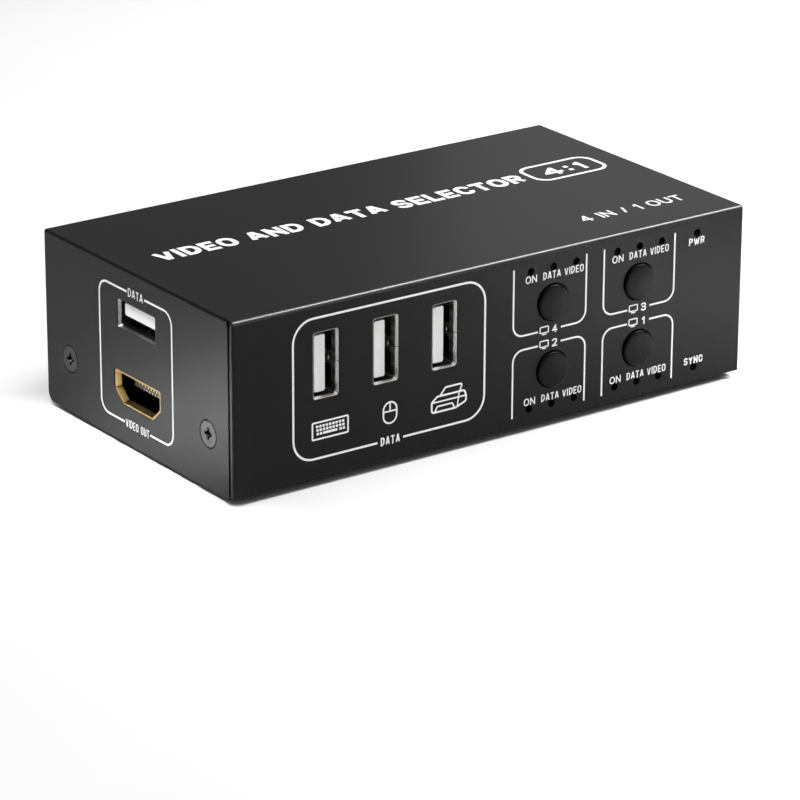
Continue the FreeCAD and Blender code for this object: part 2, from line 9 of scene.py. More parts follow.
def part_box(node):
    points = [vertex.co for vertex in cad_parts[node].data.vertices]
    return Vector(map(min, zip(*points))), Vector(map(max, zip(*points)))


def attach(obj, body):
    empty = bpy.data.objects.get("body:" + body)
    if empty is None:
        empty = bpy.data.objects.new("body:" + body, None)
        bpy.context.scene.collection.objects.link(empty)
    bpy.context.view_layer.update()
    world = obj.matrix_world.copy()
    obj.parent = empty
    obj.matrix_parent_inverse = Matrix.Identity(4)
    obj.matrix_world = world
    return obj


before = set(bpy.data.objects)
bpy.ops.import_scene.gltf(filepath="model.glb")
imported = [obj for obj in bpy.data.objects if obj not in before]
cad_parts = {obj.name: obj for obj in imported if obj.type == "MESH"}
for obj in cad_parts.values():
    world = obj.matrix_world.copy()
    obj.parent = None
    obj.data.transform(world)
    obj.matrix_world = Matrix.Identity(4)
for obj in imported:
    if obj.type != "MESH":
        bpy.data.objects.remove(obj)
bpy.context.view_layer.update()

# ---------------------------------------------------------------- base tray
# The bottom and rear panel: one folded sheet of mild steel, a millimetre thick, with punched mouths
# for the rear sockets. It is powder coated in charcoal, so it has a satin sheen and a very fine grain.
MM = 0.001
CHARCOAL = ((0.0036, 0.0036, 0.0037), (0.0048, 0.0048, 0.0049))
NOISE_SPAN = (0.3, 0.7)


def remap(tree, value, span, levels):
    """In a shader, carry a value that runs over a span to the levels at the span's two ends."""
    ramp = tree.nodes.new("ShaderNodeMapRange")
    for socket, level in zip(("From Min", "From Max", "To Min", "To Max"), (*span, *levels)):
        ramp.inputs[socket].default_value = level
    tree.links.new(value, ramp.inputs["Value"])
    return ramp.outputs["Result"]


def finish(name, shades, mottle, rough, grain, relief, stretch=(1, 1, 1), painted_recess_shade=None, **fixed):
    """A procedural finish: two mottled shades, a band of roughness, and a fine raised grain.

    Mottle and grain are sizes in millimetres, relief is a height in millimetres, and stretch draws
    the grain out along the axes where it is small. The painted recess shade darkens the colour between
    walls, as painted shade in place of the light that falls off there: how far it looks for them in
    millimetres, the share left where they close in, and the openness at which it is darkest and at which
    it ends. Fixed values go straight on the shader.
    """
    material = bpy.data.materials.new(name)
    material.use_nodes = True
    tree = material.node_tree
    nodes = tree.nodes
    link = tree.links.new
    shader = nodes["Principled BSDF"]
    for socket, value in fixed.items():
        shader.inputs[socket.replace("_", " ")].default_value = value
    place = nodes.new("ShaderNodeTexCoord")
    drawn = nodes.new("ShaderNodeMapping")
    drawn.inputs["Scale"].default_value = stretch
    link(place.outputs["Object"], drawn.inputs["Vector"])

    def noise(size, detail):
        made = nodes.new("ShaderNodeTexNoise")
        made.inputs["Scale"].default_value = 1 / (size * MM)
        made.inputs["Detail"].default_value = detail
        link(drawn.outputs["Vector"], made.inputs["Vector"])
        return made.outputs["Fac"]

    broad = noise(mottle, 3.0)
    fine = noise(grain, 2.0)
    ramp = nodes.new("ShaderNodeValToRGB")
    for stop, colour, at in zip(ramp.color_ramp.elements, shades, NOISE_SPAN):
        stop.position = at
        stop.color = (*colour, 1)
    link(broad, ramp.inputs["Fac"])
    shade = ramp.outputs["Color"]
    # Painted shade: ambient occlusion darkens the colour where walls close in.
    if painted_recess_shade:
        reach, share_left, *openness = painted_recess_shade
        nearby = nodes.new("ShaderNodeAmbientOcclusion")
        nearby.inputs["Distance"].default_value = reach * MM
        share = remap(tree, nearby.outputs["AO"], openness, (share_left, 1.0))
        painted_shade_mix = nodes.new("ShaderNodeMix")
        painted_shade_mix.data_type = "RGBA"
        painted_shade_mix.blend_type = "MULTIPLY"
        painted_shade_mix.inputs["Factor"].default_value = 1.0
        link(shade, painted_shade_mix.inputs["A"])
        link(share, painted_shade_mix.inputs["B"])
        shade = painted_shade_mix.outputs["Result"]
    link(shade, shader.inputs["Base Color"])
    link(remap(tree, fine, NOISE_SPAN, rough), shader.inputs["Roughness"])
    bump = nodes.new("ShaderNodeBump")
    bump.inputs["Strength"].default_value = 1.0
    bump.inputs["Distance"].default_value = relief * MM
    link(fine, bump.inputs["Height"])
    link(bump.outputs["Normal"], shader.inputs["Normal"])
    return material


def dress(material, *names):
    """Give CAD nodes their finish."""
    for name in names:
        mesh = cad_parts[name].data
        mesh.materials.clear()
        mesh.materials.append(material)


def ease(width, *names, steps=2, above=38):
    """Take the sharpness off the sheared or moulded edges of CAD nodes."""
    for name in names:
        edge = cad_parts[name].modifiers.new("eased_edges", "BEVEL")
        edge.width = width * MM
        edge.segments = steps
        edge.limit_method = "ANGLE"
        edge.angle_limit = math.radians(above)
        edge.harden_normals = True


COAT = (CHARCOAL, 1.4, (0.30, 0.38), 0.16, 0.0012)
COAT_SHEEN = 0.135
SHEET_EDGE = 0.14
powder_coat = finish("charcoal_powder_coat", *COAT, Specular_IOR_Level=COAT_SHEEN)
dress(powder_coat, "base_tray")
ease(SHEET_EDGE, "base_tray")

# ---------------------------------------------------------------- standoffs, posts and board screws
# Hexagonal posts turned from free-cutting steel and nickel plated. The short ones are clinched into
# the tray; the tall ones screw down through the main board and carry the upper board.
NICKEL = ((0.60, 0.59, 0.57), (0.70, 0.69, 0.66))
turned_nickel = finish(
    "turned_nickel", NICKEL, 0.8, (0.24, 0.36), 0.05, 0.0012, (1, 1, 6), Metallic=1.0)
dress(turned_nickel, "board_standoffs", "board_posts", "board_screws")

# ---------------------------------------------------------------- circuit boards
# Glass-epoxy boards under a green solder mask. The copper tracks under the mask show as lighter
# lines, and bare tinned pads come through it.
MASK = (0.006, 0.045, 0.022)
MASK_THIN = (0.008, 0.055, 0.027)
TRACK = (0.012, 0.075, 0.035)
TIN = (0.62, 0.62, 0.60)
TRACK_STEP = 0.9
TRACK_RUN = 7.0
PAD_PITCH = 3.4


def board_finish():
    """Solder mask with tracks in steps along both directions, and rows of tinned pads."""
    material = finish("green_solder_mask", (MASK, MASK), 2.0, (0.22, 0.34), 0.3, 0.001)
    nodes = material.node_tree.nodes
    link = material.node_tree.links.new
    shader = nodes["Principled BSDF"]
    place = nodes.new("ShaderNodeTexCoord")
    tracks = nodes.new("ShaderNodeTexBrick")
    tracks.inputs["Scale"].default_value = 1 / MM
    tracks.inputs["Mortar Size"].default_value = 0.12
    tracks.inputs["Brick Width"].default_value = TRACK_RUN
    tracks.inputs["Row Height"].default_value = TRACK_STEP
    tracks.inputs["Color1"].default_value = (*MASK, 1)
    tracks.inputs["Color2"].default_value = (*MASK_THIN, 1)
    tracks.inputs["Mortar"].default_value = (*TRACK, 1)
    link(place.outputs["Object"], tracks.inputs["Vector"])
    pads = nodes.new("ShaderNodeTexVoronoi")
    pads.inputs["Scale"].default_value = 1 / (PAD_PITCH * MM)
    pads.inputs["Randomness"].default_value = 0.7
    link(place.outputs["Object"], pads.inputs["Vector"])
    near = nodes.new("ShaderNodeMath")
    near.operation = "LESS_THAN"
    near.inputs[1].default_value = 0.13
    link(pads.outputs["Distance"], near.inputs[0])
    mix = nodes.new("ShaderNodeMix")
    mix.data_type = "RGBA"
    mix.inputs["B"].default_value = (*TIN, 1)
    link(near.outputs[0], mix.inputs["Factor"])
    link(tracks.outputs["Color"], mix.inputs["A"])
    link(mix.outputs["Result"], shader.inputs["Base Color"])
    link(near.outputs[0], shader.inputs["Metallic"])
    return material


dress(board_finish(), "main_board", "data_board", "panel_board", "end_board")

# ---------------------------------------------------------------- parts on the boards
# Moulded epoxy circuits, a black anodised heat sink, can capacitors in aluminium sleeves, and black
# nylon headers that join the boards. They are soldered down before the boards go in.
EPOXY = ((0.018, 0.018, 0.019), (0.026, 0.026, 0.027))
NYLON_BLACK = ((0.010, 0.010, 0.010), (0.015, 0.015, 0.015))
ANODISED = ((0.02, 0.02, 0.021), (0.03, 0.03, 0.031))
ALUMINIUM = ((0.70, 0.70, 0.71), (0.80, 0.80, 0.81))
moulded_epoxy = finish("moulded_epoxy", EPOXY, 0.5, (0.50, 0.62), 0.07, 0.004)
black_nylon = finish("black_nylon", NYLON_BLACK, 0.9, (0.38, 0.50), 0.12, 0.002)
black_anodised = finish(
    "black_anodised", ANODISED, 1.5, (0.34, 0.46), 0.08, 0.003, (1, 0.15, 1), Metallic=0.8)
aluminium_can = finish(
    "aluminium_can", ALUMINIUM, 1.2, (0.20, 0.32), 0.06, 0.001, (1, 1, 0.1), Metallic=1.0)
dress(moulded_epoxy, "chips")
dress(black_nylon, "board_headers")
dress(black_anodised, "heat_sink")
dress(aluminium_can, "capacitors")

# ---------------------------------------------------------------- rear video sockets, 1 to 4
# Drawn steel shells with a thin gold plating and a flared mouth, round a black nylon tongue. Nineteen
# plated contacts run along the tongue, and sprung fingers stand in the floor and the roof.
NUMBERS = (1, 2, 3, 4)
GOLD = ((0.26, 0.175, 0.060), (0.36, 0.245, 0.090))
CONTACT = ((0.46, 0.38, 0.22), (0.56, 0.47, 0.28))
TURN = {"front": 0.0, "rear": math.pi, "left": -math.pi / 2}
# Painted shade: the gold darkens deep inside the mouth, where the walls close in, nearly to black.
gold_plate = finish(
    "gold_plate", GOLD, 1.1, (0.17, 0.27), 0.09, 0.0012, painted_recess_shade=(6.0, 0.03, 0.70, 0.98), Metallic=1.0)
# Painted shade: the contacts darken where they run in between the walls.
bright_contact = finish(
    "bright_contact", CONTACT, 0.6, (0.20, 0.30), 0.05, 0.001, painted_recess_shade=(1.6, 0.25, 0.2, 0.8), Metallic=1.0)


def socket_place(shell, facing, upright=False):
    """Where a socket's own frame goes: mouth at the origin, opening towards -Y, in millimetres."""
    low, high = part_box(shell)
    mouth = (low + high) / 2
    if facing == "front":
        mouth.y = low.y
    elif facing == "rear":
        mouth.y = high.y
    else:
        mouth.x = low.x
    turn = Matrix.Rotation(TURN[facing], 4, "Z")
    if upright:
        turn = turn @ Matrix.Rotation(-math.pi / 2, 4, "Y")
    return Matrix.Translation(mouth) @ turn @ Matrix.Scale(MM, 4)


def piece(name, solid, place, material, body="case"):
    """Make one named piece from (corners, faces), put it in place and let it ride on its body."""
    corners, faces = solid
    mesh = bpy.data.meshes.new(name)
    mesh.from_pydata([place @ Vector(corner) for corner in corners], [], faces)
    work = bmesh.new()
    work.from_mesh(mesh)
    bmesh.ops.remove_doubles(work, verts=work.verts, dist=1e-7)
    bmesh.ops.recalc_face_normals(work, faces=work.faces)
    work.to_mesh(mesh)
    work.free()
    mesh.materials.append(material)
    made = bpy.data.objects.new(name, mesh)
    bpy.context.scene.collection.objects.link(made)
    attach(made, body)
    return made


def join(*solids):
    """Several (corners, faces) solids as one."""
    corners, faces = [], []
    for more_corners, more_faces in solids:
        start = len(corners)
        corners.extend(more_corners)
        faces.extend([start + corner for corner in face] for face in more_faces)
    return corners, faces


def leaf(x, path, width, thick, tip=1.0):
    """A bent metal strip: it follows (y, z) points at x, and its last point may be narrower."""
    corners, faces = [], []
    last = len(path) - 1
    for at, (y, z) in enumerate(path):
        before = path[max(at - 1, 0)]
        after = path[min(at + 1, last)]
        run_y, run_z = after[0] - before[0], after[1] - before[1]
        size = math.hypot(run_y, run_z)
        out_y, out_z = -run_z / size * thick / 2, run_y / size * thick / 2
        half = width / 2 * (tip if at == last else 1.0)
        for side, face in ((-1, -1), (1, -1), (1, 1), (-1, 1)):
            corners.append((x + side * half, y + face * out_y, z + face * out_z))
    for at in range(last):
        start = at * 4
        for edge in range(4):
            turn = (edge + 1) % 4
            faces.append([start + edge, start + turn, start + 4 + turn, start + 4 + edge])
    faces.append([0, 1, 2, 3])
    faces.append([last * 4 + edge for edge in (3, 2, 1, 0)])
    return corners, faces


def video_contacts():
    """Ten contacts over the tongue and nine below it, each turned in over its front edge."""
    pitch = 0.5
    solids = []
    for step in range(19):
        x = (step - 9) * pitch
        above = step % 2 == 0
        face, front = (1.07, 0.62) if above else (-0.12, 0.33)
        inward = -0.04 if above else 0.04
        path = [(8.4, face), (2.85, face), (2.68, face + inward), (2.66, front)]
        solids.append(leaf(x, path, 0.30, 0.07))
    return join(*solids)


def video_springs():
    """Sprung fingers of the shell that grip the plug: two in the floor and two in the roof."""
    solids = []
    for x in (-2.6, 2.6):
        for wall in (-1, 1):
            rest = wall * 2.26
            lift = -wall * 0.46
            path = [(6.4, rest), (5.2, rest + lift * 0.3), (3.8, rest + lift * 0.8), (3.1, rest + lift),
                    (2.7, rest + lift), (2.3, rest + lift * 0.7), (2.1, rest + lift * 0.4)]
            solids.append(leaf(x, path, 1.5, 0.12, 0.8))
    return join(*solids)


def fit_video_socket(name, facing):
    """One video socket's contacts, springs and finishes."""
    place = socket_place(name + "_shell", facing)
    piece(name + "_contacts", video_contacts(), place, bright_contact)
    piece(name + "_springs", video_springs(), place, gold_plate)
    dress(gold_plate, name + "_shell")
    dress(black_nylon, name + "_tongue")
    ease(0.07, name + "_shell")
    ease(0.10, name + "_tongue")


for number in NUMBERS:
    fit_video_socket(f"video_in_{number}", "rear")

# ---------------------------------------------------------------- power inlet
# A black nylon jack soldered to the main board, behind a round hole in the rear panel. Its pin and
# its side spring are plated brass.
dress(black_nylon, "power_jack_housing")
dress(turned_nickel, "power_jack_pin", "power_jack_spring")

# ---------------------------------------------------------------- video output on the left end
# The same kind of socket as the inputs, in the same gold and black nylon. It is soldered to the end
# board and looks out through a punched mouth in the cover.
fit_video_socket("video_out", "left")

# ---------------------------------------------------------------- flat data sockets: front and left end
# Steel shells folded to a seam and nickel plated, with a white nylon tongue that carries four
# contacts. A pressed dimple beside the seam and two windows take the plug's latch. The three in the
# front stand upright; the one in the left end lies flat, and its plating is painted darker as painted
# shade: a shaded copy of the same nickel.
WHITE_NYLON = ((0.84, 0.84, 0.83), (0.88, 0.88, 0.87))
SHELL_NICKEL = ((0.62, 0.61, 0.59), (0.72, 0.71, 0.69))
SHADED_NICKEL = ((0.20, 0.20, 0.20), (0.27, 0.27, 0.27))
# Painted shade: the tongue's white darkens where the shell's walls close in.
white_nylon = finish(
    "white_nylon", WHITE_NYLON, 1.2, (0.34, 0.46), 0.15, 0.002, painted_recess_shade=(2.5, 0.35, 0.2, 0.8))
# Painted shade: the shell's nickel darkens inside, where its walls close in.
shell_nickel = finish(
    "shell_nickel", SHELL_NICKEL, 0.9, (0.20, 0.32), 0.07, 0.0006, (1, 0.3, 1),
    painted_recess_shade=(3.5, 0.10, 0.15, 0.6), Metallic=1.0)
# Painted shade: a darker copy of the same nickel for the socket in the left end, and its colour darkens
# further between walls.
shaded_nickel = finish(
    "shaded_nickel", SHADED_NICKEL, 0.9, (0.24, 0.36), 0.07, 0.0006,
    painted_recess_shade=(3.5, 0.10, 0.2, 0.8), Metallic=1.0)


def device_contacts():
    """Four contacts along the tongue's open side; each rises in a hump near the mouth."""
    solids = []
    for x, width in ((-3.5, 1.1), (-1.0, 0.9), (1.0, 0.9), (3.5, 1.1)):
        path = [(9.4, -0.49), (5.4, -0.49), (4.0, -0.62), (3.1, -0.86), (2.5, -0.86), (1.9, -0.66),
                (1.5, -0.40)]
        solids.append(leaf(x, path, width, 0.12))
    return join(*solids)


def dimple():
    """The bump pressed into the shell's wall where the seam ends."""
    depth, half_long, half_wide, crown = 2.95, 0.62, 0.34, -2.30
    rings = ((0.45, -2.33), (0.8, -2.42), (1.0, -2.56))
    sides = 12
    corners, faces = [(0, depth, crown)], []
    for share, z in rings:
        for step in range(sides):
            turn = 2 * math.pi * step / sides
            y = depth + half_wide * share * math.sin(turn)
            corners.append((half_long * share * math.cos(turn), y, z))
    for step in range(sides):
        after = (step + 1) % sides
        faces.append([0, 1 + step, 1 + after])
        for ring in range(len(rings) - 1):
            start = 1 + ring * sides
            faces.append([start + step, start + sides + step, start + sides + after, start + after])
    last = 1 + (len(rings) - 1) * sides
    faces.append([last + step for step in reversed(range(sides))])
    return corners, faces


def fit_flat_socket(name, facing, upright, plating):
    """One flat data socket's contacts, dimple and finishes."""
    place = socket_place(name + "_shell", facing, upright)
    piece(name + "_contacts", device_contacts(), place, bright_contact)
    bump = piece(name + "_dimple", dimple(), place, plating)
    bump.data.shade_smooth()
    dress(plating, name + "_shell")
    dress(white_nylon, name + "_tongue")
    ease(0.11, name + "_shell")
    ease(0.28, name + "_tongue", steps=3)


for number in (1, 2, 3):
    fit_flat_socket(f"device_port_{number}", "front", True, shell_nickel)
fit_flat_socket("end_port", "left", False, shaded_nickel)

# ---------------------------------------------------------------- square data sockets, 1 to 4
# Nickel-plated steel shells with a flat face, round a white nylon core. Its square post carries two
# contacts on top and two below. They hang under the upper board, so the mouth's bevels point down.
def host_contacts():
    """Two contacts on top of the post and two below, turned in at the front."""
    solids = []
    for x in (-1.25, 1.25):
        for side, face in ((1, 2.00), (-1, 1.90)):
            path = [(9.6, face), (2.0, face), (1.45, face - 0.07), (1.2, face - 0.28)]
            solids.append(leaf(x, [(y, side * z) for y, z in path], 1.0, 0.14))
    return join(*solids)


for number in NUMBERS:
    name = f"data_in_{number}"
    place = socket_place(name + "_shell", "rear")
    piece(name + "_contacts", host_contacts(), place, bright_contact)
    dress(shell_nickel, name + "_shell")
    dress(white_nylon, name + "_core")
    ease(0.12, name + "_shell")
    ease(0.16, name + "_core")

# ---------------------------------------------------------------- control socket
# A small drawn shell, set back from the rear panel behind its own punched slot, with a black tongue
# that carries five contacts.
dress(shell_nickel, "control_port_shell")
dress(black_nylon, "control_port_tongue")
ease(0.06, "control_port_shell")
CONTROL_PITCH = 0.65
control_path = [(3.8, 0.02), (1.2, 0.02), (1.0, 0.12)]
five = [leaf(CONTROL_PITCH * step, control_path, 0.3, 0.07) for step in (-2, -1, 0, 1, 2)]
place = socket_place("control_port_shell", "rear")
piece("control_port_contacts", join(*five), place, bright_contact)

# ---------------------------------------------------------------- push switches and their buttons
# Four tact switches stand on the panel board. Black moulded caps with an eased rim and a shallow
# dome are pressed on their stems and run in punched holes in the front panel.
BUTTON_BLACK = ((0.0012, 0.0012, 0.0013), (0.0020, 0.0020, 0.0021))
button_plastic = finish(
    "button_plastic", BUTTON_BLACK, 0.8, (0.26, 0.36), 0.1, 0.001, Specular_IOR_Level=0.10)
for number in NUMBERS:
    dress(black_nylon, f"switch_{number}_body")
    dress(white_nylon, f"button_{number}_plunger")
    dress(button_plastic, f"button_{number}_cap")
    ease(0.22, f"button_{number}_cap", steps=3)

# ---------------------------------------------------------------- indicator lamps
# Lamps with smoked lenses behind small punched windows, each on a black sleeve that holds it off the
# panel board. They are shown unlit.
SMOKED = ((0.035, 0.035, 0.036), (0.050, 0.050, 0.052))
smoked_lens = finish("smoked_lens", SMOKED, 0.5, (0.10, 0.18), 0.2, 0.0005, Coat_Weight=0.4)
dress(smoked_lens, "indicators")
dress(black_nylon, "indicator_sleeves")

# ---------------------------------------------------------------- cover
# Top, front and both ends: one folded sheet of the same steel in the same coat, slid over the tray.
# Its cut edges are eased by the coat, and the front corners close to a narrow seam.
BEND_SPAN = (-0.06, -0.3)


def bend_gloss(material, level):
    """Let the coat draw thin and glossy over the bend from front to top.

    The bend is where the normal leans both forward and up: the product of its Y and Z is negative.
    """
    nodes = material.node_tree.nodes
    link = material.node_tree.links.new
    facing = nodes.new("ShaderNodeNewGeometry")
    apart = nodes.new("ShaderNodeSeparateXYZ")
    link(facing.outputs["Normal"], apart.inputs["Vector"])
    both = nodes.new("ShaderNodeMath")
    both.operation = "MULTIPLY"
    link(apart.outputs["Y"], both.inputs[0])
    link(apart.outputs["Z"], both.inputs[1])
    sheen = nodes["Principled BSDF"].inputs["Specular IOR Level"]
    link(remap(material.node_tree, both.outputs[0], BEND_SPAN, (COAT_SHEEN, level)), sheen)


cover_coat = finish("charcoal_cover_coat", *COAT, Specular_IOR_Level=COAT_SHEEN)
bend_gloss(cover_coat, 1.0)
dress(cover_coat, "cover")
ease(SHEET_EDGE, "cover")

# ---------------------------------------------------------------- case screws
# M3 countersunk steel screws with a cross recess and a black oxide finish. Two hold the cover to the
# tray at each end.
OXIDE = ((0.018, 0.018, 0.019), (0.028, 0.028, 0.030))
# Painted shade: the screw's colour darkens in its cross recess and in the countersink gap.
black_oxide = finish(
    "black_oxide", OXIDE, 0.5, (0.30, 0.42), 0.06, 0.002, painted_recess_shade=(1.2, 0.05, 0.2, 0.8), Metallic=0.7)
dress(black_oxide, "case_screws")
ease(0.08, "case_screws", steps=1)

# ---------------------------------------------------------------- feet
# Four round pads of black rubber, a millimetre thick with an eased lower edge. They are stuck on
# under the tray near its corners.
RUBBER = ((0.012, 0.012, 0.012), (0.020, 0.020, 0.020))
dress(finish("foot_rubber", RUBBER, 0.7, (0.72, 0.86), 0.12, 0.006), "rubber_feet")

# ---------------------------------------------------------------- printing on the front: outlines
# Screen-printed white ink, a thin film that stands a little proud of the coat. One outline goes round
# the three data sockets, and a bracket with a numeral round each computer's lamps and button.
INK_PROUD = 0.018
INK_SINK = 0.004
INK_WHITE = ((0.88, 0.88, 0.88), (0.92, 0.92, 0.92))
white_ink = finish("white_ink", INK_WHITE, 0.5, (0.50, 0.62), 0.06, 0.002)


def panel(node, origin_sides, right, up):
    """A panel's own frame: its lower left corner as seen, then right, up and outward, in mm."""
    low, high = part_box(node)
    corner = Vector([high[axis] if side else low[axis] for axis, side in enumerate(origin_sides)])
    right, up = Vector(right), Vector(up)
    turned = Matrix((right, up, right.cross(up))).transposed().to_4x4()
    return Matrix.Translation(corner) @ turned @ Matrix.Scale(MM, 4)


def turned_line(corners, radius, closed=False, steps=7):
    """Points along straight runs. A corner with a third number turns through an arc of up to radius."""
    points = []
    count = len(corners)
    for at, corner in enumerate(corners):
        here = Vector(corner[:2])
        if len(corner) < 3 or (not closed and at in (0, count - 1)):
            points.append(here)
            continue
        back = Vector(corners[at - 1][:2]) - here
        ahead = Vector(corners[(at + 1) % count][:2]) - here
        shares = [0.5 if closed or beside not in (0, count - 1) else 1.0 for beside in (at - 1, at + 1)]
        room = min(back.length * shares[0], ahead.length * shares[1])
        back.normalize()
        ahead.normalize()
        half = back.angle(ahead) / 2
        reach = min(radius / math.tan(half), room)
        spread = reach * math.tan(half)
        centre = here + (back + ahead).normalized() * spread / math.sin(half)
        start = here + back * reach - centre
        sweep = start.angle_signed(here + ahead * reach - centre)
        for step in range(steps + 1):
            spoke = start.copy()
            spoke.rotate(Matrix.Rotation(-sweep * step / steps, 2))
            points.append(centre + spoke)
    kept = [points[0]]
    kept.extend(point for point in points[1:] if (point - kept[-1]).length > 1e-5)
    return kept


def ink_line(points, width, closed=False):
    """A printed line of even width along points: a flat band for each run and a mitre at each turn."""
    sharpest = 0.6
    ends = list(zip(points, points[1:]))
    if closed:
        ends.append((points[-1], points[0]))
    shapes, bands = [], []
    for start, end in ends:
        run = (end - start).normalized()
        aside = Vector((-run.y, run.x)) * width / 2
        shapes.append([start + aside, start - aside, end - aside, end + aside])
        bands.append((end, run, aside))
    for at in range(len(bands) if closed else len(bands) - 1):
        corner, run, aside = bands[at]
        _, next_run, next_aside = bands[(at + 1) % len(bands)]
        left_turn = run.cross(next_run) > 0
        outward = -1 if left_turn else 1
        tip = (aside + next_aside) / max(1 + run.dot(next_run), sharpest)
        mitre = [corner] + [corner + outward * reach for reach in (aside, tip, next_aside)]
        shapes.append(mitre if left_turn else mitre[::-1])
    return shapes


def outline(left, bottom, right, top, radius, width, gaps=()):
    """A round-cornered outline. Each gap is (side, from, to), with side 'top' or 'bottom'."""
    if not gaps:
        ring = [(left, bottom, 1), (right, bottom, 1), (right, top, 1), (left, top, 1)]
        return ink_line(turned_line(ring, radius, True), width, True)
    sides = {side: (start, end) for side, start, end in gaps}
    if len(sides) == 2:
        runs = [[(sides["bottom"][edge], bottom), (x, bottom, 1), (x, top, 1), (sides["top"][edge], top)]
                for edge, x in ((0, left), (1, right))]
    else:
        side, start, end = gaps[0]
        near, far = (top, bottom) if side == "top" else (bottom, top)
        turns = [(left, near, 1), (left, far, 1), (right, far, 1), (right, near, 1)]
        runs = [[(start, near), *turns, (end, near)]]
    return [shape for run in runs for shape in ink_line(turned_line(run, radius), width)]


def dash(start, end, width):
    """One straight printed stroke."""
    return ink_line([Vector(start), Vector(end)], width)


def print_film(name, shapes, place):
    """Lay flat shapes down as one film of ink: where they overlap they run together."""
    spots, rings = [], []
    for shape in shapes:
        rings.append(list(range(len(spots), len(spots) + len(shape))))
        spots.extend(shape)
    spots, _, cells, _, _, sources = delaunay_2d_cdt(spots, [], rings, 1, 1e-5, True)
    cells = [cell for cell, source in zip(cells, sources) if source]
    count = len(spots)
    corners = [(spot.x, spot.y, height) for height in (INK_PROUD, -INK_SINK) for spot in spots]
    faces = [list(cell) for cell in cells]
    faces.extend([count + at for at in reversed(cell)] for cell in cells)
    rims = {rim for cell in cells for rim in zip(cell, [*cell[1:], cell[0]])}
    walls = [(start, end) for start, end in rims if (end, start) not in rims]
    faces.extend([start, count + start, count + end, end] for start, end in walls)
    return piece(name, (corners, faces), place, white_ink)


# Each letter has its width as a share of its height, then its strokes on a unit square; a point with
# a third number is turned through an arc.
LETTERS = {
    "A": (0.90, [(0, 0), (0.42, 1), (0.58, 1), (1, 0)], [(0.2, 0.3), (0.8, 0.3)]),
    "C": (0.82, [(1, 0.7), (1, 1, 1), (0, 1, 1), (0, 0, 1), (1, 0, 1), (1, 0.3)]),
    "D": (0.84, [(0, 0), (0, 1), (1, 1, 1), (1, 0, 1), (0, 0)]),
    "E": (0.72, [(1, 1), (0, 1), (0, 0), (1, 0)], [(0, 0.5), (0.85, 0.5)]),
    "I": (0.0, [(0, 0), (0, 1)]),
    "L": (0.66, [(0, 1), (0, 0), (1, 0)]),
    "M": (1.02, [(0, 0), (0, 1)], [(1, 0), (1, 1)], [(0, 1), (0.5, 0.15), (1, 1)]),
    "N": (0.84, [(0, 0), (0, 1)], [(1, 0), (1, 1)], [(0, 1), (1, 0)]),
    "O": (0.90, [(0.5, 1), (0, 1, 1), (0, 0, 1), (1, 0, 1), (1, 1, 1), (0.5, 1)]),
    "P": (0.78, [(0, 0), (0, 1), (1, 1, 1), (1, 0.44, 1), (0, 0.44)]),
    "R": (0.80, [(0, 0), (0, 1), (1, 1, 1), (1, 0.46, 1), (0, 0.46)], [(0.5, 0.46), (1, 0)]),
    "S": (0.78, [(1, 0.75), (1, 1, 1), (0, 1, 1), (0, 0.5, 1), (1, 0.5, 1), (1, 0, 1), (0, 0, 1),
                 (0, 0.25)]),
    "T": (0.78, [(0, 1), (1, 1)], [(0.5, 0), (0.5, 1)]),
    "U": (0.82, [(0, 1), (0, 0, 1), (1, 0, 1), (1, 1)]),
    "V": (0.88, [(0, 1), (0.42, 0), (0.58, 0), (1, 1)]),
    "W": (1.22, [(0, 1), (0.23, 0), (0.29, 0), (0.5, 0.8), (0.71, 0), (0.77, 0), (1, 1)]),
    "Y": (0.86, [(0, 1), (0.5, 0.45), (1, 1)], [(0.5, 0), (0.5, 0.45)]),
    "1": (0.42, [(0, 0.72), (0.9, 1), (0.9, 0)]),
    "2": (0.74, [(0, 0.74), (0, 1, 1), (1, 1, 1), (1, 0.55, 1), (0, 0), (1, 0)]),
    "3": (0.74, [(0, 0.76), (0, 1, 1), (1, 1, 1), (1, 0.52, 1), (0.3, 0.52)],
          [(0.3, 0.52), (1, 0.52, 1), (1, 0, 1), (0, 0, 1), (0, 0.24)]),
    "4": (0.82, [(0.72, 0), (0.72, 1), (0, 0.26), (1, 0.26)]),
    ":": (0.0, [(0, 0.14), (0, 0.16)], [(0, 0.74), (0, 0.76)]),
    "/": (0.50, [(0, 0), (1, 1)]),
    " ": (0.34,),
}


def words(text, u, v, height, width, stroke, spacing=0.17):
    """Plain stroked lettering centred at (u, v), its letters drawn out to fill a width."""
    gap = spacing * height
    flexible = [max(LETTERS[letter][0] * height - stroke, 0) for letter in text]
    fixed = stroke * len(text) + gap * (len(text) - 1)
    stretch = (width - fixed) / sum(flexible)
    tall = height - stroke
    pen = u - width / 2 + stroke / 2
    base = v - tall / 2
    shapes = []
    for letter, wide in zip(text, flexible):
        wide *= stretch
        for run in LETTERS[letter][1:]:
            corners = [(pen + x * wide, base + y * tall, *turn) for x, y, *turn in run]
            path = turned_line(corners, 0.46 * height, steps=4 if height < 3 else 7)
            for end, inner in ((0, 1), (-1, -2)):
                out = path[end] - path[inner]
                if min(abs(out.x), abs(out.y)) < 1e-6:
                    path[end] = path[end] + out.normalized() * stroke / 2
            shapes.extend(ink_line(path, stroke))
        pen += wide + stroke + gap
    return shapes


def numbered_screen(number, u, v):
    """A small monitor picture with a computer's numeral beside it."""
    stroke = 0.24
    screen = outline(u - 2.25, v - 0.42, u - 0.25, v + 0.78, 0.16, stroke)
    foot = dash((u - 1.75, v - 0.74), (u - 0.75, v - 0.74), stroke)
    return screen + foot + words(str(number), u + 1.25, v, 1.6, 0.85 if number == 1 else 1.25, 0.28)


